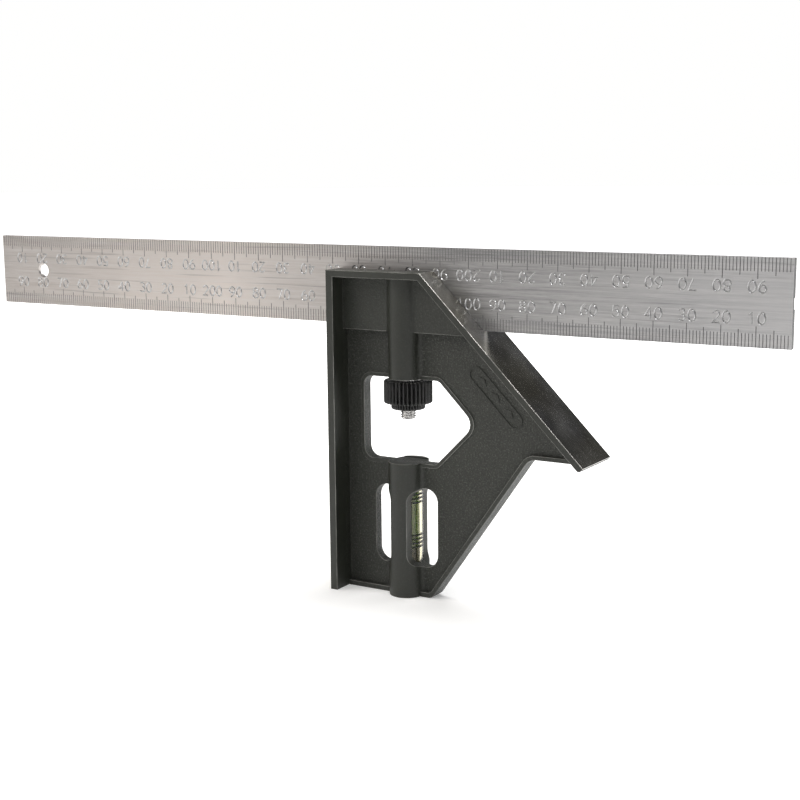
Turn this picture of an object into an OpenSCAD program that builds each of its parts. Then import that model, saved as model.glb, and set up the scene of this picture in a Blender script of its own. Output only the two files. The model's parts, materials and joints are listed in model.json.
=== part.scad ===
// Combination square: a 300 mm rule clamped in a die-cast head that gives
// 90 and 45 degrees, with a hook bolt, a knurled nut and a level vial.
// +X runs along the blade, +Y away from the front, +Z up.
// The origin is at mid-length of the blade, mid-thickness, on the head's foot.

/* [Blade] */
// Length of the blade
blade_len = 300; // [200:10:400]
// Width of the blade, edge to edge
blade_w = 25; // [24:0.5:26]
// Thickness of the blade
blade_t = 2; // [1.6:0.1:2]
// Diameter of the hanging hole
hole_d = 5; // [3:0.5:8]
// Distance from the blade's left end to the hole's centre
hole_in = 20.4; // [15:0.2:40]
// Height of the groove along the back of the blade
groove_h = 3.2; // [3:0.1:3.6]
// Depth of the groove along the back of the blade
groove_depth = 0.9; // [0.85:0.05:0.95]

/* [Head] */
// Height of the head
head_h = 104.9; // [104:0.1:108]
// Thickness of the head, front to back
head_t = 20.2; // [19:0.1:24]
// Position of the square face, measured from the middle of the blade
face_x = 3.2; // [-20:0.1:20]
// Length of the flat top
top_len = 34.6; // [34:0.1:36]
// Length of the 45 degree face
miter_len = 78; // [76:0.1:79]
// Thickness of the outer flanges
flange_t = 2.2; // [2:0.1:2.5]
// Thickness of the web
web_t = 3.2; // [3:0.1:3.6]
// Thickness of the raised border round the outside
rim_t = 5.8; // [5:0.1:6.4]
// Thickness of the raised bead round the window
bead_t = 4; // [3.8:0.1:4.4]
// Radius of the fillets beside the two housings
fillet_r = 1.8; // [1:0.1:2]
// Thickness of the thick block that holds the blade
pad_t = 8.4; // [8:0.1:9]
// Height of the lower edge of that block
pad_z = 85.7; // [85:0.1:86]

/* [Clamp] */
// Distance of the bolt's centre line from the square face
axis_in = 24.3; // [24:0.1:24.6]
// Half width of the bolt housing
boss_r = 5.3; // [5.2:0.1:5.6]
// Depth of the bolt housing, front to back
boss_d = 14; // [13:0.2:15]
// Diameter of the knurled nut
knob_d = 15.6; // [15:0.1:16.4]
// Height of the knurled ring
knob_h = 7.4; // [7:0.1:7.6]
// Diameter of the nut's lower collar
collar_d = 11; // [10:0.1:12]
// Number of flutes round the nut
flutes = 36; // [24:1:40]
// Diameter of the bolt's shank
bolt_d = 5; // [4.8:0.1:5]

/* [Level] */
// Half width of the vial housing
tube_r = 5.7; // [5.6:0.1:6]
// Depth of the vial housing, front to back
tube_d = 14.8; // [14:0.2:15.4]
// Diameter of the vial
vial_d = 9; // [8.6:0.1:9]
// Length of the vial
vial_len = 29; // [28.4:0.1:29.2]

/* [Hidden] */
$fn = 64;
eps = 0.02;
blade_z = 87.2;
slot_t = blade_t + 0.2;
groove_z = blade_z + blade_w / 2;
axis_x = face_x + axis_in;
miter_x = top_len + miter_len / sqrt(2);
miter_z = head_h - miter_len / sqrt(2);
win_top = 70.7;
win_low = 43.8;
tube_top = 44;
bore_d = 8;
bore_z = 75.4;
head_low = 83.2;
bolt_low = 57.5;
bolt_top = 103.6;
lip_h = 1.6;
washer_t = 0.5;
knob_top = win_top - washer_t - 0.04;
knob_low = knob_top - knob_h;
collar_low = 60.7;
lift = 1.2;
vial_bore = vial_d + 0.12;
vial_z = 10.8;
bubble_r = 2.9;

// Points of an arc round c, from angle a0 to a1.
function arc(c, r, a0, a1, n) =
  [for (i = [0:n]) [c[0] + r * cos(a0 + (a1 - a0) * i / n), c[1] + r * sin(a0 + (a1 - a0) * i / n)]];

// Rounded corner at point p between the directions a and b, radius r.
function unit(v) = v / norm(v);
function corner(a, p, b, r, n = 6) =
  let (u = unit(a - p), w = unit(b - p))
  let (h = acos(u * w) / 2)
  let (c = p + unit(u + w) * r / sin(h))
  let (s = p + u * r / tan(h) - c, e = p + w * r / tan(h) - c)
  let (a0 = atan2(s[1], s[0]), t = atan2(s[0] * e[1] - s[1] * e[0], s * e))
  arc(c, r, a0, a0 + t, n);

function rounded(p, r) =
  [for (i = [0:len(p) - 1])
    let (q = corner(p[(i + len(p) - 1) % len(p)], p[i], p[(i + 1) % len(p)], r[i]))
    each (r[i] > 0 ? q : [p[i]])];

// Inner faces of the side flange and of the 45 degree flange (x + z = in_sum).
in_x = flange_t + 0.4;
in_sum = top_len + head_h - (flange_t - 0.1) * sqrt(2);
end_in = (flange_t - 0.1) / sqrt(2);

// Outline of the whole head, seen from the front.
border_z = 49.1;
outline_pts = [[0, 0], [34.3, 0], [68.8, border_z], [in_sum - border_z, border_z],
               [miter_x - end_in, miter_z - end_in], [miter_x, miter_z], [top_len, head_h], [0, head_h]];
outline_rad = [0, 3, 4, 0, 1, 0, 0, 0];

// Outline of the recess inside the flanges and the raised border.
border_in = 1.7;
recess_z = border_z + 1.4;
recess_pts = [[in_x, border_in], [33.6, border_in], [67.9, recess_z], [in_sum - recess_z, recess_z],
              [in_sum - head_h + flange_t, head_h - flange_t], [in_x, head_h - flange_t]];
recess_rad = [0, 2, 5.4, 0, 0, 0];

// Everything inside the flanges, down past the foot and past the end of the 45 degree flange.
below = -5;
inside_pts = [[in_x, below], [in_sum - miter_z + 3, below], [in_sum - miter_z + 3, miter_z - 3],
              recess_pts[4], recess_pts[5]];

// Outline of the five-sided window.
window_pts = [[8.9, win_low], [35.5, win_low], [49.5, 57.8], [36.6, win_top], [8.9, win_top]];
window_rad = [3.6, 2.4, 4.2, 3, 3];
bead_pts = [[7.6, win_low - 1.3], [36, win_low - 1.3], [51.3, 57.8], [37.1, win_top + 1.3],
            [7.6, win_top + 1.3]];
bead_rad = [4.6, 3, 5.2, 4, 4];

// A flat plate of the given outline, thickness t about the middle plane.
module plate(pts, t) {
  translate([face_x, t / 2, 0])
    rotate([90, 0, 0])
      linear_extrude(height = t)
        polygon(pts);
}

// Upright housing with rounded front and back: half width r, depth d.
module housing(r, d, z0, z1) {
  e = d / 2 - r;
  for (s = [-1, 1])
    translate([axis_x, s * e, z0])
      cylinder(r = r, h = z1 - z0);
  translate([axis_x - r, -e, z0])
    cube([2 * r, 2 * e, z1 - z0]);
}

// Concave fillets between such a housing and the plate of thickness t that it stands on.
module housing_fillets(r, d, t, z0, z1) {
  e = d / 2 - r;
  cy = t / 2 + fillet_r;
  cx = sqrt(pow(r + fillet_r, 2) - pow(cy - e, 2));
  touch = 180 + atan2(cy - e, cx);
  for (sx = [0, 1], sy = [0, 1])
    translate([axis_x, 0, z0])
      mirror([sx, 0, 0])
        mirror([0, sy, 0])
          linear_extrude(height = z1 - z0)
            polygon(concat([[1, 0.5], [cx, 0.5]], arc([cx, cy], fillet_r, 270, touch, 8), [[1, cy]]));
}

// One of the two openings that show the vial.
module sight_slot(side) {
  in_w = 3;
  out_w = 11.5;
  r = (out_w - in_w) / 2;
  x0 = axis_x + side * (in_w + out_w) / 2;
  for (z = [9.8 + r, 35.6 - r])
    translate([x0, 12, z])
      rotate([90, 0, 0])
        cylinder(r = r, h = 24);
  translate([x0 - r, -12, 9.8 + r])
    cube([2 * r, 24, 25.8 - 2 * r]);
}

module head() {
  color([0.12, 0.12, 0.12])
  difference() {
    union() {
      difference() {
        plate(rounded(outline_pts, outline_rad), head_t);
        // Inside the flanges only the raised border is left at the outside edges.
        for (s = [-1, 1])
          translate([0, s * (rim_t / 2 + head_t / 2), 0])
            plate(inside_pts, head_t);
        for (s = [-1, 1])
          translate([0, s * (web_t / 2 + head_t / 2), 0])
            plate(rounded(recess_pts, recess_rad), head_t);
      }
      // Thick block that holds the blade.
      plate([[in_x - 0.3, pad_z], [in_sum - pad_z + 0.3, pad_z], [in_sum - head_h + flange_t, head_h - 1],
             [in_x - 0.3, head_h - 1]], pad_t);
      // Bead round the window.
      plate(rounded(bead_pts, bead_rad), bead_t);
      housing(boss_r, boss_d, win_top, head_h - 1);
      housing_fillets(boss_r, boss_d, web_t, win_top + 0.4, pad_z + 0.2);
      housing_fillets(boss_r, boss_d, pad_t, pad_z, head_h - 1);
      housing(tube_r, tube_d, 0, tube_top);
      housing_fillets(tube_r, tube_d, web_t, 0.4, tube_top - 0.6);
    }
    // Window, cut clear of the two housings.
    plate(rounded(window_pts, window_rad), 10);
    // Slot for the blade.
    translate([face_x - 5, -slot_t / 2, blade_z - 0.05])
      cube([110, slot_t, 60]);
    // Bore for the bolt's head and spring, and for its shank.
    translate([axis_x, 0, bore_z])
      cylinder(d = bore_d, h = 60);
    translate([axis_x, 0, win_top - 5])
      cylinder(d = bolt_d + 0.12, h = 20);
    // Bore for the vial.
    translate([axis_x, 0, -1])
      cylinder(d = vial_bore, h = 1 + vial_z + vial_len + 0.1);
    sight_slot(-1);
    sight_slot(1);
  }
}

module blade() {
  color([0.72, 0.71, 0.7])
  difference() {
    translate([-blade_len / 2, -blade_t / 2, blade_z])
      cube([blade_len, blade_t, blade_w]);
    translate([-blade_len / 2 - 1, blade_t / 2 - groove_depth, groove_z - groove_h / 2])
      cube([blade_len + 2, groove_depth + 1, groove_h]);
    translate([hole_in - blade_len / 2, 5, blade_z + 12.5])
      rotate([90, 0, 0])
        cylinder(d = hole_d, h = 10);
  }
}

module clamp_bolt() {
  lip_z = groove_z - groove_h / 2 + 0.05;
  color([0.75, 0.75, 0.74])
  union() {
    difference() {
      translate([axis_x, 0, head_low])
        cylinder(d = bore_d - 0.12, h = bolt_top - head_low);
      // Front of the head cut away for the blade, with room for the lift.
      translate([axis_x - 6, -6, blade_z - lift - 0.4])
        cube([12, 6 + blade_t / 2 + 0.1, 40]);
    }
    // Lip that hooks into the blade's groove.
    translate([axis_x - 2.6, blade_t / 2 - groove_depth + 0.1, lip_z])
      cube([5.2, groove_depth + 1, lip_h]);
    translate([axis_x, 0, bolt_low + 0.6])
      cylinder(d = bolt_d, h = head_low - bolt_low - 0.5);
    translate([axis_x, 0, bolt_low])
      cylinder(d1 = bolt_d - 1.2, d2 = bolt_d, h = 0.62);
  }
}

module clamp_spring() {
  wire = 0.7;
  mean = (bore_d + bolt_d) / 4 + 0.03;
  n = 6;
  step = (head_low - bore_z - wire - 0.1) / (n - 1);
  color([0.6, 0.6, 0.62])
  union() {
    for (i = [0:n - 1])
      translate([axis_x, 0, bore_z + 0.05 + wire / 2 + i * step])
        rotate_extrude($fn = 48)
          translate([mean, 0])
            circle(d = wire, $fn = 16);
    for (i = [0:n - 2])
      translate([axis_x + mean * (i % 2 == 0 ? 1 : -1) - 0.2, -0.2, bore_z + 0.05 + wire / 2 + i * step])
        cube([0.4, 0.4, step]);
  }
}

module clamp_washer() {
  color([0.7, 0.7, 0.7])
  difference() {
    translate([axis_x, 0, win_top - washer_t - 0.02])
      cylinder(d = 10, h = washer_t);
    translate([axis_x, 0, win_top - 3])
      cylinder(d = bolt_d + 0.16, h = 6);
  }
}

// Fluted outline of radius r with grooves of depth g.
function fluted(r, g) =
  [for (i = [0:flutes - 1], k = [0:3])
    let (a = 360 / flutes * (i + [0.02, 0.3, 0.52, 0.8][k]))
    (k == 1 || k == 0 ? r : r - g) * [cos(a), sin(a)]];

module knurled_nut() {
  color([0.07, 0.07, 0.07])
  difference() {
    union() {
      translate([axis_x, 0, knob_low + 0.5])
        linear_extrude(height = knob_h - 1)
          polygon(fluted(knob_d / 2, 0.55));
      translate([axis_x, 0, knob_top - 0.52])
        cylinder(d1 = knob_d - 1.1, d2 = knob_d - 1.9, h = 0.52);
      translate([axis_x, 0, knob_low])
        cylinder(d1 = knob_d - 1.9, d2 = knob_d - 1.1, h = 0.52);
      translate([axis_x, 0, collar_low + 0.4])
        linear_extrude(height = knob_low - collar_low)
          polygon(fluted(collar_d / 2, 0.4));
      translate([axis_x, 0, collar_low])
        cylinder(d1 = collar_d - 1.6, d2 = collar_d - 0.8, h = 0.42);
    }
    translate([axis_x, 0, collar_low - 1])
      cylinder(d = bolt_d + 0.12, h = 20);
  }
}

module ring_set(d0, d1, h) {
  for (s = [-1, 1], k = [0:3])
    translate([axis_x, 0, vial_z + vial_len / 2 + s * (5.4 + 1.3 * k) - h / 2])
      difference() {
        cylinder(d = d1, h = h);
        translate([0, 0, -1])
          cylinder(d = d0, h = h + 2);
      }
}

module vial_tube() {
  color([0.8, 0.9, 0.7, 0.5])
  difference() {
    translate([axis_x, 0, vial_z])
      cylinder(d = vial_d, h = vial_len);
    translate([axis_x, 0, vial_z - 1])
      cylinder(d = vial_d - 2, h = vial_len - 1);
    ring_set(vial_d - 0.2, vial_d + 1, 0.4);
  }
}

module vial_lines() {
  color([0.03, 0.03, 0.03])
    ring_set(vial_d - 0.18, vial_d, 0.36);
}

module vial_liquid() {
  color([0.75, 0.85, 0.2, 0.7])
  difference() {
    translate([axis_x, 0, vial_z + 4.7])
      cylinder(d = vial_d - 2.04, h = vial_len - 6.74);
    translate([axis_x, 0, vial_z + vial_len - 5.4])
      sphere(r = bubble_r);
  }
}

module vial_bubble() {
  color([0.95, 0.97, 0.9, 0.4])
    translate([axis_x, 0, vial_z + vial_len - 5.4])
      sphere(r = bubble_r - eps);
}

module vial_end_cap() {
  color([0.1, 0.1, 0.1])
    translate([axis_x, 0, vial_z])
      cylinder(d = vial_d - 2.04, h = 4.66);
}

module vial_retainer() {
  color([0.16, 0.16, 0.16])
  difference() {
    translate([axis_x, 0, 0.6])
      cylinder(d = vial_bore - 0.04, h = vial_z - 0.64);
    translate([axis_x, 0, 0])
      cylinder(d = 4, h = 4);
  }
}

head();
blade();
clamp_bolt();
clamp_spring();
clamp_washer();
knurled_nut();
vial_tube();
vial_lines();
vial_liquid();
vial_bubble();
vial_end_cap();
vial_retainer();
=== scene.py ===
"""Looks of the combination square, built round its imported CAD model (metres, +Z up)."""

import json
import math

import bmesh
import bpy
from mathutils import Matrix, Vector
from mathutils.kdtree import KDTree


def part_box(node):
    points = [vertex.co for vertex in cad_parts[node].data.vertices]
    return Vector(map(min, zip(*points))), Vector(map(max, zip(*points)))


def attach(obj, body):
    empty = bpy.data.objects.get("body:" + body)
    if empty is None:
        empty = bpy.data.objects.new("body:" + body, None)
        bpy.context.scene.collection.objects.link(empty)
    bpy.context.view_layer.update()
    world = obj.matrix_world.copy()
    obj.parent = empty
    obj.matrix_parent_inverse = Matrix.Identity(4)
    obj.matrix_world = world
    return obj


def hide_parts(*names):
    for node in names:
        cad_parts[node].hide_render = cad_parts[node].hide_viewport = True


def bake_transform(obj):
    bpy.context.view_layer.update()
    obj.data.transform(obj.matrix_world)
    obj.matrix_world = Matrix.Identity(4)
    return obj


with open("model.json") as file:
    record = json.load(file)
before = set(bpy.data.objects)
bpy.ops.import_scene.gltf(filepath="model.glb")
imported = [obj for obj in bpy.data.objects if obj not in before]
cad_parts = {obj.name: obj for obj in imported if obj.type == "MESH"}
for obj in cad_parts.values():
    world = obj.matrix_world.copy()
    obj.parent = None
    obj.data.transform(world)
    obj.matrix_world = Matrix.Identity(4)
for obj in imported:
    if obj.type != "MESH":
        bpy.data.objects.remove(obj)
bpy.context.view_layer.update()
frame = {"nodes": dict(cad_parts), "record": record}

MM = 0.001

# Sizes in millimetres that the frame doesn't give.
TOP_LENGTH = 34.6
WEB_HALF = 1.6
PAD_HALF = 4.2
BOLT_RADIUS = 2.5
THREAD_PITCH = 0.8
THREAD_DEPTH = 0.42
KNOB_HEIGHT = 7.4
COLLAR_RADIUS = 5.45
FLUTES = 36

# Places that come from the frame.
HEAD_LO, HEAD_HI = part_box("head")
BLADE_LO, BLADE_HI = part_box("blade")
NUT_LO, NUT_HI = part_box("knurled_nut")
SPRING_LO, SPRING_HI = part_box("clamp_spring")
WASHER_LO, WASHER_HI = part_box("clamp_washer")
BOLT_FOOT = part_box("clamp_bolt")[0].z
AXIS_X = (NUT_LO.x + NUT_HI.x) / 2
FACE_X = HEAD_LO.x
BLADE_FRONT = BLADE_LO.y
# X + Z has this value all over the 45 degree face.
MITER_SUM = FACE_X + TOP_LENGTH * MM + HEAD_HI.z


# ---------------------------------------------------------------- camera and stage

def add_camera():
    """The camera of the photograph: to the right and a little above, at its distance."""
    azimuth, elevation, roll = (math.radians(a) for a in (31.609, 9.614, -0.543))
    place = Vector((0.26206, -0.38616, 0.14003))
    lens, sensor = 64.66, 36
    forward = Vector((-math.sin(azimuth) * math.cos(elevation),
                      math.cos(azimuth) * math.cos(elevation),
                      -math.sin(elevation)))
    level = forward.cross(Vector((0, 0, 1))).normalized()
    upright = level.cross(forward)
    right = level * math.cos(roll) + upright * math.sin(roll)
    pose = Matrix((right, right.cross(forward), -forward)).transposed().to_4x4()
    pose.translation = place
    camera = bpy.data.objects.new("camera", bpy.data.cameras.new("camera"))
    camera.data.sensor_width = sensor
    camera.data.lens = lens
    camera.data.clip_start = 0.01
    camera.matrix_world = pose
    bpy.context.scene.collection.objects.link(camera)
    bpy.context.scene.camera = camera


def area_light(name, place, target, size, power, colour):
    """A rectangular lamp at a place, turned towards a target."""
    lamp = bpy.data.lights.new(name, "AREA")
    lamp.shape = "RECTANGLE"
    lamp.size, lamp.size_y = size
    lamp.energy = power
    lamp.color = colour
    lamp_object = bpy.data.objects.new(name, lamp)
    lamp_object.location = place
    lamp_object.rotation_euler = (Vector(target) - Vector(place)).to_track_quat("-Z", "Y").to_euler()
    bpy.context.scene.collection.objects.link(lamp_object)


def add_world():
    """White for the camera; for the object, a room that is bright in front and dark high behind."""
    world = bpy.data.worlds.new("studio")
    bpy.context.scene.world = world
    world.use_nodes = True
    net = Net(world.node_tree)
    direction = net.node("ShaderNodeTexCoord").outputs["Generated"]
    axes = net.node("ShaderNodeSeparateXYZ", Vector=direction).outputs
    behind = net.math("ADD", net.math("MULTIPLY", axes["X"], 0.5), net.math("MULTIPLY", axes["Y"], 0.87))
    behind = net.ramp(behind, [(0.30, (0, 0, 0)), (0.62, (1, 1, 1))], scale=(-1, 1))
    low_white, high_dark = (0.90, 0.90, 0.89), (0.05, 0.05, 0.052)
    backdrop = net.ramp(axes["Z"], [(0.56, low_white), (0.64, high_dark)], scale=(-1, 1))
    left_light, right_dim = (0.55, 0.54, 0.53), (0.20, 0.20, 0.205)
    front = net.ramp(axes["X"], [(0.35, left_light), (0.68, right_dim)], scale=(-1, 1))
    room = net.mix(behind, front, backdrop)
    seen = net.node("ShaderNodeLightPath").outputs["Is Camera Ray"]
    colour = net.mix(seen, room, (1, 1, 0.995, 1))
    background = net.node("ShaderNodeBackground", Color=colour, Strength=1.0)
    net.link(background.outputs[0], net.node("ShaderNodeOutputWorld"), "Surface")


def floor_white():
    """White floor that gives more of its own light the further it lies behind or beside the object."""
    material, net, shader = new_material("floor_white")
    shader.inputs["Base Color"].default_value = (0.9, 0.9, 0.895, 1)
    shader.inputs["Roughness"].default_value = 0.9
    shader.inputs["Specular IOR Level"].default_value = 0.1
    shader.inputs["Emission Color"].default_value = (1, 1, 0.995, 1)
    axes = net.axes()
    away = net.math("ADD", axes["Y"], net.math("MULTIPLY", net.math("ABSOLUTE", axes["X"]), 0.6))
    fade = net.ramp(away, [(0.0, grey(0)), (0.4, grey(0.22)), (1.0, grey(1))], scale=(-0.35, 0.5))
    net.put(shader, "Emission Strength", fade)
    return material


def add_floor():
    """A wide round floor under the object."""
    mesh = bpy.data.meshes.new("floor")
    bm = bmesh.new()
    bmesh.ops.create_circle(bm, cap_ends=True, segments=96, radius=6.0)
    bm.to_mesh(mesh)
    bm.free()
    mesh.materials.append(floor_white())
    floor = bpy.data.objects.new("floor", mesh)
    bpy.context.scene.collection.objects.link(floor)


def add_lights():
    """A large lamp above, a small one for the glints, and a warm one from the front left."""
    area_light("top", (0.3, 0.3, 1.4), (0.03, 0.05, 0.0), (1.0, 0.9), 19, (1, 1, 1))
    area_light("glint", (0.55, -0.60, 1.0), (0.03, 0, 0.06), (0.3, 0.3), 2.6, (1, 1, 1))
    area_light("front_left", (-1.0, -0.75, 0.95), (0, 0, 0.07), (0.8, 0.6), 8.5, (1.0, 0.95, 0.90))


# ---------------------------------------------------------------- node helpers

class Net:
    """Short ways to add and join shader nodes."""

    def __init__(self, tree):
        self.tree = tree
        tree.nodes.clear()

    def link(self, source, node, name):
        self.tree.links.new(source, node.inputs[name])

    def node(self, kind, **inputs):
        """Adds a node and sets or joins its inputs."""
        made = self.tree.nodes.new(kind)
        for name, value in inputs.items():
            self.put(made, name, value)
        return made

    def put(self, node, name, value):
        if isinstance(value, bpy.types.NodeSocket):
            self.link(value, node, name)
        else:
            node.inputs[name].default_value = value

    def math(self, operation, a, b=0.0):
        made = self.tree.nodes.new("ShaderNodeMath")
        made.operation = operation
        self.put(made, 0, a)
        self.put(made, 1, b)
        return made.outputs[0]

    def ramp(self, value, stops, scale=None):
        """Colours along a value; scale says which values lie at the two ends."""
        if scale:
            low, high = scale
            value = self.math("DIVIDE", self.math("SUBTRACT", value, low), high - low)
        made = self.node("ShaderNodeValToRGB", Fac=value)
        points = made.color_ramp.elements
        for i, (position, colour) in enumerate(stops):
            point = points[i] if i < 2 else points.new(position)
            point.position = position
            point.color = (*colour, 1)
        return made.outputs["Color"]

    def mix(self, factor, a, b):
        made = self.tree.nodes.new("ShaderNodeMix")
        made.data_type = "RGBA"
        for socket, value in zip((made.inputs[0], made.inputs[6], made.inputs[7]), (factor, a, b)):
            if isinstance(value, bpy.types.NodeSocket):
                self.tree.links.new(value, socket)
            else:
                socket.default_value = value
        return made.outputs[2]

    def places(self, stretch=(1, 1, 1), turn=(0, 0, 0)):
        """Object coordinates, scaled per axis and turned, so that the texture rides with the piece."""
        coordinates = self.node("ShaderNodeTexCoord").outputs["Object"]
        return self.node("ShaderNodeMapping", Vector=coordinates, Scale=stretch, Rotation=turn).outputs[0]

    def noise(self, vector, scale, detail=2.0, roughness=0.5):
        return self.node("ShaderNodeTexNoise", Vector=vector, Scale=scale, Detail=detail,
                         Roughness=roughness).outputs["Fac"]

    def axes(self):
        coordinates = self.node("ShaderNodeTexCoord").outputs["Object"]
        return self.node("ShaderNodeSeparateXYZ", Vector=coordinates).outputs

    def bump(self, height, distance, strength):
        return self.node("ShaderNodeBump", Height=height, Distance=distance, Strength=strength).outputs[0]


def new_material(name):
    """A material with its node helper and its shader."""
    material = bpy.data.materials.new(name)
    material.use_nodes = True
    net = Net(material.node_tree)
    shader = net.node("ShaderNodeBsdfPrincipled")
    net.link(shader.outputs[0], net.node("ShaderNodeOutputMaterial"), "Surface")
    return material, net, shader


def grey(value, warm=0.0):
    """A grey colour, or a slightly warm one."""
    return (value * (1 + warm), value, value * (1 - warm))


# ---------------------------------------------------------------- materials

def cast_paint():
    """Black satin paint: coarse cast grain on the web, finer on the pad, flanges and housings."""
    material, net, shader = new_material("cast_paint")
    axes = net.axes()
    places = net.places()
    depth = net.math("ABSOLUTE", axes["Y"])
    on_web = net.math("LESS_THAN", depth, (WEB_HALF + 0.12) * MM)
    on_pad = net.math("LESS_THAN", depth, (PAD_HALF + 0.15) * MM)
    coarse = net.math("MULTIPLY", on_pad, 0.35)
    coarse = net.math("MAXIMUM", coarse, on_web)
    coarse = net.math("ADD", net.math("MULTIPLY", coarse, 0.85), 0.15)
    grain = net.noise(places, 1900, 3.0, 0.65)
    pebbles = net.noise(places, 780, 2.0, 0.5)
    swell = net.noise(places, 55, 2.0)
    height = net.math("MULTIPLY", net.math("ADD", grain, net.math("MULTIPLY", pebbles, 0.9)), coarse)
    speck = net.ramp(net.noise(places, 1900, 3.0, 0.6), [(0.52, grey(0)), (0.68, grey(1))])
    speck = net.math("MULTIPLY", speck, coarse)
    tone = net.ramp(swell, [(0.3, (0.0125, 0.0140, 0.0100)), (0.7, (0.0200, 0.0220, 0.0165))])
    tone = net.mix(speck, tone, (0.062, 0.066, 0.056, 1))
    net.put(shader, "Base Color", tone)
    rough = net.ramp(swell, [(0.3, grey(0.40)), (0.7, grey(0.49))])
    rough = net.math("SUBTRACT", rough, net.math("MULTIPLY", speck, 0.12))
    net.put(shader, "Roughness", rough)
    net.put(shader, "Normal", net.bump(height, 0.4 * MM, 0.9))
    return material


def edge_paint(name, tone, rough, bare=0.0):
    """The paint on edges, of any tone: a light tone paints a highlight along them, a near-black one paints
    shade; bare is how far it is worn to metal beside the 45 degree face.
    """
    material, net, shader = new_material(name)
    rub = net.noise(net.places(), 160, 4.0, 0.6)
    fine = net.noise(net.places(), 1900, 3.0, 0.6)
    low = (tone * 0.45, tone * 0.47, tone * 0.4)
    high = (tone * 1.4, tone * 1.4, tone * 1.3)
    axes = net.axes()
    rim = net.math("GREATER_THAN", net.math("ADD", axes["X"], axes["Z"]), MITER_SUM - 0.4 * MM)
    worn = net.noise(net.places((1, 0.3, 1)), 210, 3.0, 0.6)
    worn = net.ramp(worn, [(0.34, grey(0)), (0.48, grey(1))])
    worn = net.math("MULTIPLY", net.math("MULTIPLY", rim, bare), worn)
    paint = net.ramp(rub, [(0.35, low), (0.65, high)])
    net.put(shader, "Base Color", net.mix(worn, paint, (0.55, 0.54, 0.51, 1)))
    net.put(shader, "Metallic", worn)
    net.put(shader, "Roughness", net.ramp(rub, [(0.35, grey(rough + 0.06)), (0.65, grey(rough - 0.04))]))
    net.put(shader, "Normal", net.bump(fine, 0.08 * MM, 0.6))
    return material


def machined_face():
    """Ground faces of the casting: smooth metal that reflects the room, with grinding lines and stains."""
    material, net, shader = new_material("machined_face")
    lines = net.noise(net.places((1, 60, 1)), 110, 3.0, 0.6)
    stains = net.noise(net.places(), 90, 3.0, 0.55)
    tint = net.noise(net.places(), 38, 2.0)
    tone = net.ramp(stains, [(0.34, (0.44, 0.435, 0.42)), (0.66, (0.78, 0.776, 0.765))])
    tone = net.mix(net.ramp(tint, [(0.38, grey(0)), (0.62, grey(0.6))]), tone, (0.52, 0.49, 0.34, 1))
    net.put(shader, "Base Color", tone)
    net.put(shader, "Metallic", 1.0)
    uneven = net.math("ADD", net.math("MULTIPLY", lines, 0.5), net.math("MULTIPLY", stains, 0.5))
    net.put(shader, "Roughness", net.ramp(uneven, [(0.3, grey(0.16)), (0.7, grey(0.27))]))
    net.put(shader, "Normal", net.bump(lines, 0.006 * MM, 0.5))
    return material


def blade_steel():
    """Satin stainless steel, brushed along its length, lighter and darker in places, with a painted
    reflection along it and long dark streaks.
    """
    material, net, shader = new_material("blade_steel")
    brush = net.noise(net.places((1, 45, 45)), 26, 6.0, 0.72)
    fine = net.noise(net.places((1, 40, 40)), 190, 4.0, 0.7)
    cloud = net.noise(net.places((1, 2, 2)), 30, 2.0)
    streaks = net.noise(net.places((1, 45, 45)), 22, 3.0, 0.55)
    streaks = net.ramp(streaks, [(0.30, grey(1)), (0.42, grey(0))])
    lines = net.math("ADD", net.math("MULTIPLY", brush, 0.6), net.math("MULTIPLY", fine, 0.4))
    # Painted reflection: the base colour is lighter beside the head, darkest just past it, and lighter again
    # at the right end.
    left_end, beside_head = (0.43, 0.39, 0.365), (0.74, 0.67, 0.62)
    past_head, right_end = (0.18, 0.178, 0.18), (0.48, 0.48, 0.49)
    along = [(0.0, left_end), (0.35, beside_head), (0.64, past_head), (1.0, right_end)]
    along = net.ramp(net.axes()["X"], along, scale=(BLADE_LO.x, BLADE_HI.x))
    shine = net.ramp(lines, [(0.38, grey(0)), (0.62, grey(0.5))])
    tone = net.mix(shine, along, (0.72, 0.71, 0.70, 1))
    tone = net.mix(net.math("MULTIPLY", cloud, 0.28), tone, (0.30, 0.29, 0.29, 1))
    tone = net.mix(net.math("MULTIPLY", streaks, 0.4), tone, (0.16, 0.155, 0.16, 1))
    # Painted shade: the blade's end faces are near black.
    on_end = net.math("GREATER_THAN", net.math("ABSOLUTE", net.axes()["X"]), BLADE_HI.x - 0.04 * MM)
    tone = net.mix(on_end, tone, (0.07, 0.07, 0.07, 1))
    net.put(shader, "Base Color", tone)
    net.put(shader, "Metallic", 1.0)
    net.put(shader, "Roughness", net.ramp(lines, [(0.25, grey(0.46)), (0.75, grey(0.34))]))
    net.put(shader, "Normal", net.bump(lines, 0.012 * MM, 0.5))
    return material


def mark_steel(name, tone, rough):
    """Walls of the engraved graduations or numbers."""
    material, net, shader = new_material(name)
    speck = net.noise(net.places(), 2200, 3.0, 0.6)
    net.put(shader, "Base Color", net.ramp(speck, [(0.3, grey(tone * 0.8)), (0.7, grey(tone * 1.2))]))
    net.put(shader, "Metallic", 0.9)
    net.put(shader, "Roughness", net.ramp(speck, [(0.3, grey(rough + 0.06)), (0.7, grey(rough - 0.06))]))
    net.put(shader, "Normal", net.bump(speck, 0.01 * MM, 0.4))
    return material


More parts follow.
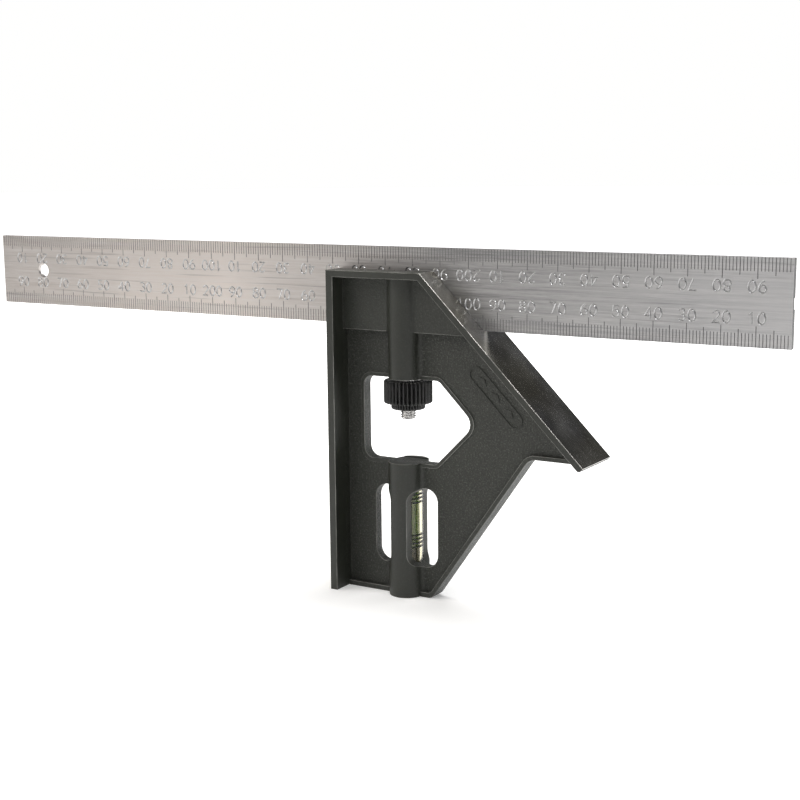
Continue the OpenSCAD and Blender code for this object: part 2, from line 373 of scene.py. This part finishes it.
def bright_plate(name, tone, rough):
    """Bright plated steel with faint turning marks and small dull spots."""
    material, net, shader = new_material(name)
    turned = net.noise(net.places((1, 1, 30)), 300, 3.0, 0.6)
    spots = net.noise(net.places(), 900, 3.0, 0.6)
    dull, bright = grey(tone * 0.82, 0.015), grey(tone, 0.01)
    net.put(shader, "Base Color", net.ramp(spots, [(0.35, dull), (0.6, bright)]))
    net.put(shader, "Metallic", 1.0)
    net.put(shader, "Roughness", net.ramp(spots, [(0.35, grey(rough + 0.14)), (0.6, grey(rough))]))
    net.put(shader, "Normal", net.bump(turned, 0.006 * MM, 0.5))
    return material


def black_finish():
    """The nut's black: semi-gloss, with slight scuffs."""
    material, net, shader = new_material("black_finish")
    scuffs = net.noise(net.places((1, 1, 0.35)), 700, 4.0, 0.65)
    fine = net.noise(net.places(), 2600, 3.0, 0.6)
    net.put(shader, "Base Color", net.ramp(scuffs, [(0.45, grey(0.005)), (0.8, (0.035, 0.035, 0.033))]))
    net.put(shader, "Roughness", net.ramp(scuffs, [(0.3, grey(0.24)), (0.75, grey(0.42))]))
    shader.inputs["Specular IOR Level"].default_value = 0.45
    net.put(shader, "Normal", net.bump(fine, 0.03 * MM, 0.5))
    return material


def clear_vial():
    """Clear acrylic, slightly yellow."""
    material, net, shader = new_material("clear_vial")
    ripple = net.noise(net.places((1, 1, 0.2)), 260, 2.0)
    net.put(shader, "Base Color", net.ramp(ripple, [(0.3, (0.84, 0.80, 0.56)), (0.7, (0.90, 0.86, 0.64))]))
    net.put(shader, "Roughness", net.ramp(ripple, [(0.3, grey(0.03)), (0.7, grey(0.08))]))
    shader.inputs["IOR"].default_value = 1.49
    shader.inputs["Transmission Weight"].default_value = 1.0
    net.put(shader, "Normal", net.bump(ripple, 0.02 * MM, 0.3))
    return material


def vial_fluid():
    """Yellow-green liquid."""
    material, net, shader = new_material("vial_fluid")
    cloud = net.noise(net.places(), 180, 2.0)
    net.put(shader, "Base Color", net.ramp(cloud, [(0.3, (0.20, 0.48, 0.05)), (0.7, (0.27, 0.54, 0.08))]))
    shader.inputs["Roughness"].default_value = 0.12
    shader.inputs["IOR"].default_value = 1.36
    shader.inputs["Transmission Weight"].default_value = 0.72
    net.put(shader, "Normal", net.bump(cloud, 0.02 * MM, 0.2))
    return material


def vial_air():
    """The bubble in the liquid."""
    material, net, shader = new_material("vial_air")
    cloud = net.noise(net.places(), 240, 2.0)
    net.put(shader, "Base Color", net.ramp(cloud, [(0.3, (0.90, 0.96, 0.7)), (0.7, (0.98, 1.0, 0.85))]))
    shader.inputs["Roughness"].default_value = 0.03
    shader.inputs["IOR"].default_value = 1.05
    shader.inputs["Transmission Weight"].default_value = 1.0
    return material


def dark_matt(name, tone, grain):
    """Matt dark material with a fine grain, for ink and plugs."""
    material, net, shader = new_material(name)
    speck = net.noise(net.places(), grain, 3.0, 0.6)
    net.put(shader, "Base Color", net.ramp(speck, [(0.3, grey(tone)), (0.7, grey(tone * 1.7, 0.03))]))
    net.put(shader, "Roughness", net.ramp(speck, [(0.3, grey(0.5)), (0.7, grey(0.66))]))
    net.put(shader, "Normal", net.bump(speck, 0.03 * MM, 0.4))
    return material


# ---------------------------------------------------------------- mesh helpers

def piece(name, mesh, materials, body, replaces=()):
    """Links a finished mesh as a piece that rides on a body."""
    made = bpy.data.objects.new(name, mesh)
    bpy.context.scene.collection.objects.link(made)
    for material in materials:
        mesh.materials.append(material)
    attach(made, body)
    if replaces:
        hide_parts(*replaces)
    return made


def cad_copy(node):
    """The CAD node's mesh with its seams joined."""
    seam = 0.002 * MM
    bm = bmesh.new()
    bm.from_mesh(frame["nodes"][node].data)
    bmesh.ops.remove_doubles(bm, verts=bm.verts, dist=seam)
    return bm


def whole_faces(bm):
    """Joins the triangles of each flat face."""
    flat = math.radians(0.2)
    bmesh.ops.dissolve_limit(bm, angle_limit=flat, verts=bm.verts, edges=bm.edges,
                             use_dissolve_boundaries=False)


def sharp_edges(bm, degrees, sign):
    """Edges whose faces turn by more than this; sign 1 for outer edges, -1 for inner ones."""
    return [e for e in bm.edges
            if e.is_manifold and math.degrees(e.calc_face_angle_signed(0)) * sign > degrees]


def round_edges(bm, edges, width, segments, material=-1):
    """Bevels the edges; the new faces take their neighbours' material unless one is given."""
    bmesh.ops.bevel(bm, geom=edges, offset=width, offset_type="OFFSET", segments=segments, profile=0.5,
                    affect="EDGES", clamp_overlap=False, loop_slide=False, material=material)


def turned_places(bm):
    """Where a face's triangles turn over: a bevel has folded there. Tiny triangles don't count."""
    smallest = 2e-12
    found = []
    bm.normal_update()
    for corners in bm.calc_loop_triangles():
        a, b, c = (corner.vert.co for corner in corners)
        across = (b - a).cross(c - a)
        turned = across.normalized().dot(corners[0].face.normal) < 0.5
        if turned and across.length > smallest:
            found.append((a + b + c) / 3)
    return found


def round_cleanly(bm, degrees, sign, width, segments, material=-1):
    """Rounds the sharp edges of one sign, and leaves sharp those whose rounding would fold."""
    feather = math.radians(125)
    tries, clear = 8, 2.5 * width
    keep = [e for e in sharp_edges(bm, degrees, sign) if e.calc_face_angle(0) < feather]
    for _ in range(tries):
        bm.edges.index_update()
        trial = bm.copy()
        trial.edges.ensure_lookup_table()
        round_edges(trial, [trial.edges[e.index] for e in keep], width, segments)
        folds = turned_places(trial)
        trial.free()
        if not folds:
            break
        tree = KDTree(len(folds))
        for i, place in enumerate(folds):
            tree.insert(place, i)
        tree.balance()
        keep = [e for e in keep if min(tree.find(v.co)[2] for v in e.verts) > clear]
    round_edges(bm, keep, width, segments, material)


def finish_mesh(bm, name, smooth=28):
    """Turns bm into a mesh whose faces are smooth up to that angle."""
    bmesh.ops.recalc_face_normals(bm, faces=bm.faces)
    for f in bm.faces:
        f.smooth = True
    for e in bm.edges:
        e.smooth = e.is_manifold and e.calc_face_angle(0) < math.radians(smooth)
    mesh = bpy.data.meshes.new(name)
    bm.to_mesh(mesh)
    bm.free()
    return mesh


def even_normals(made):
    """Lets the large faces set the normals, so that they stay flat beside their rounded edges."""
    modifier = made.modifiers.new("even_normals", "WEIGHTED_NORMAL")
    modifier.keep_sharp = True
    modifier.weight = 60


def join_rings(bm, a, b):
    """Faces between two rings of vertices."""
    n = len(a)
    for i in range(n):
        j = (i + 1) % n
        bm.faces.new((a[i], a[j], b[j], b[i]))


def ringed_solid(rows):
    """A solid whose skin runs over rings of points, with its two end rings capped."""
    bm = bmesh.new()
    rings = [[bm.verts.new(p) for p in row] for row in rows]
    for a, b in zip(rings, rings[1:]):
        join_rings(bm, a, b)
    bm.faces.new(list(reversed(rings[0])))
    bm.faces.new(rings[-1])
    return bm


def smooth_share(value, low, high):
    """Rises smoothly from 0 at low to 1 at high."""
    t = min(1.0, max(0.0, (value - low) / (high - low)))
    return t * t * (3 - 2 * t)


def cut(target, cutter_bm, material_index):
    """Takes the cutter's shape out of target with a manifold boolean, and applies it."""
    bmesh.ops.recalc_face_normals(cutter_bm, faces=cutter_bm.faces)
    for f in cutter_bm.faces:
        f.material_index = material_index
    mesh = bpy.data.meshes.new("cutter")
    cutter_bm.to_mesh(mesh)
    cutter_bm.free()
    for slot_material in target.data.materials:
        mesh.materials.append(slot_material)
    cutter = bpy.data.objects.new("cutter", mesh)
    bpy.context.scene.collection.objects.link(cutter)
    modifier = target.modifiers.new("cut", "BOOLEAN")
    modifier.operation = "DIFFERENCE"
    modifier.solver = "MANIFOLD"
    modifier.object = cutter
    graph = bpy.context.evaluated_depsgraph_get()
    result = bpy.data.meshes.new_from_object(target.evaluated_get(graph))
    target.modifiers.remove(modifier)
    old = target.data
    target.data = result
    bpy.data.meshes.remove(old)
    bpy.data.objects.remove(cutter)
    bpy.data.meshes.remove(mesh)


# ---------------------------------------------------------------- head

def head_casting(paint, machined, worn):
    """The casting with rounded edges; its two working faces are machined."""
    machined_slot, worn_and_highlit_slot = 1, 2
    near = 0.05 * MM
    bm = cad_copy("head")
    round_cleanly(bm, 35, -1, 0.14 * MM, 2)
    whole_faces(bm)
    # Outer edges take the lighter edge paint: partly wear, partly a painted highlight along every outer
    # edge.
    round_cleanly(bm, 35, 1, 0.17 * MM, 3, worn_and_highlit_slot)
    bmesh.ops.recalc_face_normals(bm, faces=bm.faces)
    slant = Vector((1, 0, 1)).normalized()
    for f in bm.faces:
        centre = f.calc_center_median()
        on_slant = f.normal.dot(slant) > 0.999 and abs(centre.x + centre.z - MITER_SUM) < near
        on_square = f.normal.x < -0.999 and abs(centre.x - FACE_X) < near
        if on_slant or on_square:
            f.material_index = machined_slot
    mesh = finish_mesh(bm, "head_casting", 50)
    head = piece("head_casting", mesh, [paint, machined, worn], "head", ["head"])
    even_normals(head)


# ---------------------------------------------------------------- blade

def arc(cx, cz, rx, rz, start, end, count):
    """Points of an ellipse's arc, from one angle to another in degrees."""
    angles = [math.radians(start + (end - start) * i / count) for i in range(count + 1)]
    return [(cx + rx * math.cos(a), cz + rz * math.sin(a)) for a in angles]


def closed(points):
    """A loop: its last point is its first."""
    return points[:-1] + [points[0]]


# Strokes of each digit in a box one wide and one high. The second list is cut after the first,
# because strokes that are cut together can't cross.
DIGITS = {
    "0": ([closed(arc(0.5, 0.5, 0.5, 0.5, 90, -270, 20))], []),
    "1": ([[(0.22, 0.76), (0.58, 1.0), (0.58, 0.0)]], []),
    "2": ([arc(0.5, 0.71, 0.46, 0.29, 165, -30, 12) + [(0.02, 0.0), (1.0, 0.0)]], []),
    "3": ([arc(0.48, 0.765, 0.42, 0.235, 150, -90, 11)],
          [arc(0.47, 0.27, 0.5, 0.27, 84, -150, 13)]),
    "4": ([[(0.72, 1.0), (0.0, 0.28), (1.0, 0.28)]],
          [[(0.74, 0.92), (0.74, 0.0)]]),
    "5": ([[(0.92, 1.0), (0.16, 1.0), (0.08, 0.56)] + arc(0.46, 0.33, 0.5, 0.33, 125, -150, 13)], []),
    "6": ([closed(arc(0.5, 0.31, 0.5, 0.31, 90, -270, 18))],
          [arc(1.02, 0.34, 1.02, 0.68, 178, 104, 8)]),
    "7": ([[(0.0, 1.0), (1.0, 1.0), (0.36, 0.0)]], []),
    "8": ([closed(arc(0.5, 0.77, 0.41, 0.23, 90, -270, 16))],
          [closed(arc(0.5, 0.27, 0.5, 0.27, 90, -270, 18))]),
}


def turned_over(strokes):
    """Strokes turned by half a turn, which make a 9 of a 6."""
    return [[(1 - x, 1 - z) for x, z in stroke] for stroke in strokes]


DIGITS["9"] = tuple(turned_over(strokes) for strokes in DIGITS["6"])


def groove(bm, points, width, deep):
    """Adds the wedge that cuts a V groove along points (x, z) into the blade's front face."""
    loop = points[0] == points[-1]
    line = [Vector(p) for p in (points[:-1] if loop else points)]
    above = 0.05 * MM
    half = width / 2 * (deep + above) / deep
    y_top, y_low = BLADE_FRONT - above, BLADE_FRONT + deep
    n = len(line)
    rows = []
    for i, p in enumerate(line):
        before = (p - line[i - 1]).normalized() if i or loop else None
        after = (line[(i + 1) % n] - p).normalized() if i < n - 1 or loop else None
        along = ((before or after) + (after or before)).normalized()
        across = Vector((-along.y, along.x))
        bend = max(0.5, along.dot(after or before))
        left, right = p + across * half / bend, p - across * half / bend
        rows.append([bm.verts.new((left.x, y_top, left.y)), bm.verts.new((right.x, y_top, right.y)),
                     bm.verts.new((p.x, y_low, p.y))])
    for i in range(n if loop else n - 1):
        join_rings(bm, rows[i], rows[(i + 1) % n])
    if not loop:
        bm.faces.new(rows[0])
        bm.faces.new(list(reversed(rows[-1])))


def ticks(bm, from_low_edge):
    """Millimetre graduations along one edge, longer every 5 and every 10 mm."""
    deep, past = 0.11 * MM, 0.06 * MM
    edge, way = (BLADE_LO.z, 1) if from_low_edge else (BLADE_HI.z, -1)
    count = round((BLADE_HI.x - BLADE_LO.x) / MM)
    for i in range(1, count):
        length = 6.0 if i % 10 == 0 else 5.0 if i % 5 == 0 else 3.9
        width = 0.26 if i % 5 == 0 else 0.22
        x = BLADE_LO.x + i * MM
        groove(bm, [(x, edge - way * past), (x, edge + way * length * MM)], width * MM, deep)


def number(label, x, z, flip, passes):
    """One number about (x, z); with flip -1 it is turned over."""
    height, width, space = 3.3 * MM, 2.1 * MM, 2.95 * MM
    line, deep = 0.52 * MM, 0.24 * MM
    for k, digit in enumerate(label):
        shift = (k - (len(label) - 1) / 2) * space
        for strokes, bm in zip(DIGITS[digit], passes):
            for stroke in strokes:
                points = [(x + flip * (shift + (u - 0.5) * width), z + flip * (v - 0.5) * height)
                          for u, v in stroke]
                groove(bm, points, line, deep)


def numbers(passes):
    """Numbers every 10 mm: the lower row from the right end, the upper one from the left, turned over."""
    step, middle = 10 * MM, 8.15 * MM
    count = round((BLADE_HI.x - BLADE_LO.x) / step)
    for i in range(1, count):
        label = str(i // 10 * 100) if i % 10 == 0 else str(i % 10 * 10)
        number(label, BLADE_HI.x - i * step, BLADE_LO.z + middle, 1, passes)
        number(label, BLADE_LO.x + i * step, BLADE_HI.z - middle, -1, passes)


def round_cutter(x, z, sizes):
    """Solid along Y round (x, z), from rows of (y, radius)."""
    steps = 96
    turns = [2 * math.pi * k / steps for k in range(steps)]
    return ringed_solid([[(x + r * math.cos(a), y, z + r * math.sin(a)) for a in turns]
                         for y, r in sizes])


def block(low, high):
    """A box between two corners."""
    bm = bmesh.new()
    bmesh.ops.create_cube(bm, size=1.0)
    for v in bm.verts:
        v.co = [(a + b) / 2 + c * (b - a) for a, b, c in zip(low, high, v.co)]
    return bm


def in_cells(bm):
    """Divides the blade's faces between the numbers, so that each face has few cuts in it."""
    inset = 6.25 * MM
    heights = [BLADE_LO.z + inset, (BLADE_LO.z + BLADE_HI.z) / 2, BLADE_HI.z - inset]
    planes = [((0, 0, z), (0, 0, 1)) for z in heights]
    count = int((BLADE_HI.x - BLADE_LO.x) / (10 * MM))
    planes += [((BLADE_LO.x + (10 * i + 5.5) * MM, 0, 0), (1, 0, 0)) for i in range(count)]
    for place, normal in planes:
        geometry = list(bm.verts) + list(bm.edges) + list(bm.faces)
        bmesh.ops.bisect_plane(bm, geom=geometry, plane_co=place, plane_no=normal)


def blade_rule(steel, number_steel, line_steel):
    """The blade: edges broken, hole, groove behind, and its graduations and numbers cut in."""
    hole = next(m for m in frame["record"]["mounts"] if m["name"] == "hanging_hole")
    hole_x, _, hole_z = hole["pos_m"]
    radius = hole["dims"]["r_mm"] * MM
    groove_floor = BLADE_FRONT + hole["dims"]["length_mm"] * MM
    front, back, rim = BLADE_FRONT, BLADE_HI.y, 0.12 * MM
    half_groove, past, broken = 1.6 * MM, MM, 0.1 * MM
    steel_slot, number_slot, line_slot = 0, 1, 2
    bm = block(BLADE_LO, BLADE_HI)
    round_edges(bm, list(bm.edges), broken, 1)
    in_cells(bm)
    blade = piece("blade_rule", finish_mesh(bm, "blade_rule"), [steel, number_steel, line_steel],
                  "blade", ["blade"])
    cut(blade, block((BLADE_LO.x - past, groove_floor, hole_z - half_groove),
                     (BLADE_HI.x + past, back + past, hole_z + half_groove)), steel_slot)
    bore = [(front - rim, radius + 2 * rim), (front + rim, radius), (back + rim, radius)]
    cut(blade, round_cutter(hole_x, hole_z, bore), steel_slot)
    passes = bmesh.new(), bmesh.new()
    numbers(passes)
    lines = bmesh.new()
    ticks(lines, True)
    ticks(lines, False)
    cut(blade, lines, line_slot)
    for grooves in passes:
        cut(blade, grooves, number_slot)
    blade.data.shade_flat()


# ---------------------------------------------------------------- clamp

def thread_radius(turn, z):
    """Radius of a right-hand V thread at an angle (in turns) and height."""
    phase = (z / (THREAD_PITCH * MM) - turn) % 1.0
    ridge = abs(2 * phase - 1)
    depth = min(1.0, max(0.0, 1.25 * (1 - ridge) - 0.12))
    return BOLT_RADIUS * MM - THREAD_DEPTH * MM * depth


def bolt_hook(metal, low):
    """The bolt's hooked head from the CAD, above a height."""
    bm = cad_copy("clamp_bolt")
    whole_faces(bm)
    geometry = list(bm.verts) + list(bm.edges) + list(bm.faces)
    bmesh.ops.bisect_plane(bm, geom=geometry, plane_co=(0, 0, low), plane_no=(0, 0, 1), clear_inner=True)
    bmesh.ops.holes_fill(bm, edges=[e for e in bm.edges if e.is_boundary], sides=0)
    round_cleanly(bm, 60, 1, 0.15 * MM, 2)
    mesh = finish_mesh(bm, "clamp_bolt_hook", 40)
    piece("clamp_bolt_hook", mesh, [metal], "clamp_bolt", ["clamp_bolt"])


def bolt_shank(metal, high):
    """The shank up to a height, with a real thread and a tapered end."""
    around, per_turn = 40, 10
    taper_length, taper_depth = 0.6 * MM, 0.62 * MM
    low = BOLT_FOOT
    steps = int((high - low) / (THREAD_PITCH * MM) * per_turn)
    turns = [i / around for i in range(around)]
    rows = []
    for s in range(steps + 1):
        z = low + (high - low) * s / steps
        taper = min(1.0, (z - low) / taper_length)
        limit = BOLT_RADIUS * MM - taper_depth * (1 - taper)
        radii = [min(limit, thread_radius(turn, z)) for turn in turns]
        rows.append([(AXIS_X + r * math.cos(2 * math.pi * turn), r * math.sin(2 * math.pi * turn), z)
                     for r, turn in zip(radii, turns)])
    mesh = finish_mesh(ringed_solid(rows), "clamp_bolt_shank", 50)
    piece("clamp_bolt_shank", mesh, [metal], "clamp_bolt")


def clamp_screw(metal):
    """The bolt: the hook and the shank, which reach a little into each other."""
    joint = SPRING_HI.z + 0.1001 * MM
    bolt_hook(metal, joint)
    bolt_shank(metal, joint + 0.05 * MM)


def lathe(profile, segments, name, radius_at=None):
    """Turns a closed profile of (radius, z) about the bolt's axis; radius_at changes it with the turn."""
    bm = bmesh.new()
    rings = []
    for r, z in profile:
        points = []
        for i in range(segments):
            a = 2 * math.pi * i / segments
            radius = radius_at(r, z, i / segments) if radius_at else r
            points.append(bm.verts.new((AXIS_X + radius * math.cos(a), radius * math.sin(a), z)))
        rings.append(points)
    for a, b in zip(rings, rings[1:] + rings[:1]):
        join_rings(bm, a, b)
    return finish_mesh(bm, name, 40)


def fluted(r, z, turn):
    """The nut's radius: deep flutes round the knurled ring, shallow ones round the collar."""
    outer, collar = (NUT_HI.x - NUT_LO.x) / 2, COLLAR_RADIUS * MM
    step = NUT_HI.z - KNOB_HEIGHT * MM
    ring_flute, collar_flute, roundness = 0.85 * MM, 0.5 * MM, 1.3
    wave = 0.5 - 0.5 * math.cos(2 * math.pi * turn * FLUTES)
    if r > collar + 0.3 * MM and z > step - 0.01 * MM:
        return r - ring_flute * wave ** roundness * smooth_share(r, outer - 1.5 * MM, outer - 0.4 * MM)
    if collar - 1.2 * MM < r and z < step + 0.01 * MM:
        return r - collar_flute * wave ** roundness * smooth_share(r, collar - 1.0 * MM, collar - 0.3 * MM)
    return r


def nut_profile():
    """The nut's outline as (radius, z), down from the top of its bore."""
    outer, collar, bore = (NUT_HI.x - NUT_LO.x) / 2, COLLAR_RADIUS * MM, 2.56 * MM
    top, low = NUT_HI.z, NUT_LO.z
    step = top - KNOB_HEIGHT * MM
    dish, corner = 0.35 * MM, 0.55 * MM
    bends = 0.2, 0.6, 1.0, 1.4
    profile = [(bore, top - dish), (bore + 0.5 * MM, top - 0.05 * MM), (outer - 1.4 * MM, top)]
    profile += [(outer - corner + corner * math.sin(a), top - corner + corner * math.cos(a)) for a in bends]
    profile += [(outer, top - 1.2 * MM), (outer, (top + step) / 2), (outer, step + 1.2 * MM)]
    profile += [(outer - corner + corner * math.cos(a), step + corner - corner * math.sin(a)) for a in bends]
    profile += [(outer - 1.4 * MM, step), (collar + 0.25 * MM, step), (collar, step - 0.15 * MM)]
    profile += [(collar, (step + low) / 2), (collar, low + 0.5 * MM), (collar - 0.25 * MM, low + 0.12 * MM)]
    profile += [(collar - 0.8 * MM, low), (bore + 0.45 * MM, low), (bore, low + 0.4 * MM)]
    return profile


def nut_knob(black):
    """The nut: a fluted ring and a fluted collar below it, with round crests and broken edges."""
    per_flute = 8
    mesh = lathe(nut_profile(), FLUTES * per_flute, "nut_knob", fluted)
    piece("nut_knob", mesh, [black], "knurled_nut", ["knurled_nut"])


def nut_washer(metal):
    """The washer above the nut, with its four edges broken."""
    outer, inner = (WASHER_HI.x - WASHER_LO.x) / 2, 2.58 * MM
    low, high, chamfer = WASHER_LO.z, WASHER_HI.z, 0.1 * MM
    profile = [(inner + chamfer, low), (outer - chamfer, low)]
    profile += [(outer, low + chamfer), (outer, high - chamfer)]
    profile += [(outer - chamfer, high), (inner + chamfer, high)]
    profile += [(inner, high - chamfer), (inner, low + chamfer)]
    mesh = lathe(profile, 72, "nut_washer")
    piece("nut_washer", mesh, [metal], "head", ["clamp_washer"])


def coil_spring(metal):
    """A real coil with closed ends."""
    wire = 0.35 * MM
    mean = (SPRING_HI.x - SPRING_LO.x) / 2 - wire
    low, high = SPRING_LO.z + wire, SPRING_HI.z - wire
    turns, per_turn, around = 7.0, 28, 10
    count = int(turns * per_turn)
    sides = [2 * math.pi * k / around for k in range(around)]
    rows = []
    for s in range(count + 1):
        t = s / count
        rise = smooth_share(t, 0.06, 0.94) * 0.25 + min(1.0, max(0.0, (t - 0.1) / 0.8)) * 0.75
        a = 2 * math.pi * turns * t
        out = Vector((math.cos(a), math.sin(a), 0))
        centre = Vector((AXIS_X, 0, low + (high - low) * rise)) + out * mean
        rows.append([centre + (out * math.cos(b) + Vector((0, 0, 1)) * math.sin(b)) * wire for b in sides])
    mesh = finish_mesh(ringed_solid(rows), "coil_spring", 60)
    made = bpy.data.objects.new("coil_spring", mesh)
    bpy.context.scene.collection.objects.link(made)
    mesh.materials.append(metal)
    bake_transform(made)
    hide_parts("clamp_spring")


# ---------------------------------------------------------------- badge

def badge_point(bm, side, u, v, lift):
    """A point u along the badge and v across it, lifted off one face of the web (all in mm)."""
    centre = Vector((FACE_X + 56.6 * MM, 0, 67.1 * MM))
    along = Vector((1, 0, -1)).normalized()
    across = Vector((1, 0, 1)).normalized()
    place = centre + along * u * MM + across * v * MM
    return bm.verts.new((place.x, side * WEB_HALF * MM + side * lift * MM, place.z))


def pill(length, radius, steps=10):
    """Outline of a bar with round ends."""
    angles = [math.pi * (k / steps - 0.5) for k in range(steps + 1)]
    right = [(length / 2 + radius * math.cos(t), radius * math.sin(t)) for t in angles]
    return right + [(-u, -v) for u, v in right]


def badge_frame(bm, side, sunk):
    """The raised band round the badge."""
    length, outside, inside, raised = 19.0, 2.5, 2.15, 0.22
    outer, inner = pill(length, outside), pill(length, inside)
    walls = (outer, sunk), (outer, raised), (inner, raised), (inner, sunk)
    rows = [[badge_point(bm, side, u, v, lift) for u, v in outline] for outline, lift in walls]
    for a, b in zip(rows, rows[1:]):
        join_rings(bm, a, b)


def badge_lozenge(bm, side, middle, sunk):
    """One raised lozenge."""
    half_length, half_width, raised = 2.0, 1.15, 0.2
    rim = [(middle - half_length, 0.0), (middle, -half_width)]
    rim += [(middle + half_length, 0.0), (middle, half_width)]
    corners = [badge_point(bm, side, u, v, raised) for u, v in rim]
    feet = [badge_point(bm, side, u, v, sunk) for u, v in rim]
    bm.faces.new(corners)
    join_rings(bm, feet, corners)


def badge(paint, side_shade):
    """A plain raised badge on both sides of the web: a rounded frame round three small lozenges."""
    sunk = -0.1
    side_shade_slot = 1
    bm = bmesh.new()
    for side in (-1, 1):
        badge_frame(bm, side, sunk)
        for middle in (-6.5, 0.0, 6.5):
            badge_lozenge(bm, side, middle, sunk)
    bm.normal_update()
    for f in bm.faces:
        # Painted shade: the badge's side walls are near black.
        f.material_index = side_shade_slot if abs(f.normal.y) < 0.5 else 0
    mesh = finish_mesh(bm, "cast_badge", 30)
    piece("cast_badge", mesh, [paint, side_shade], "head")


# ---------------------------------------------------------------- carried-over nodes

def dress(node, material):
    """Gives a CAD node its material."""
    mesh = frame["nodes"][node].data
    mesh.materials.clear()
    mesh.materials.append(material)


def build():
    """The whole scene: camera, stage, then each sub-part in its materials."""
    add_camera()
    add_floor()
    add_world()
    add_lights()
    paint = cast_paint()
    # Lighter edge paint: wear, and a painted highlight along the outer edges.
    worn = edge_paint("worn_paint", 0.15, 0.25, 1.0)
    # Near-black paint for the badge's side walls: painted shade.
    side_shade = edge_paint("grimy_paint", 0.003, 0.62)
    head_casting(paint, machined_face(), worn)
    badge(paint, side_shade)
    number_steel = mark_steel("number_steel", 0.52, 0.3)
    line_steel = mark_steel("line_steel", 0.22, 0.5)
    blade_rule(blade_steel(), number_steel, line_steel)
    plated = bright_plate("plated_steel", 0.78, 0.2)
    clamp_screw(plated)
    nut_knob(black_finish())
    nut_washer(plated)
    coil_spring(bright_plate("spring_steel", 0.6, 0.28))
    dress("vial_tube", clear_vial())
    dress("vial_liquid", vial_fluid())
    dress("vial_bubble", vial_air())
    dress("vial_lines", dark_matt("vial_ink", 0.012, 1800))
    plug = dark_matt("vial_plug", 0.02, 1200)
    dress("vial_end_cap", plug)
    dress("vial_retainer", plug)
    bpy.context.scene.view_settings.view_transform = "Standard"


build()
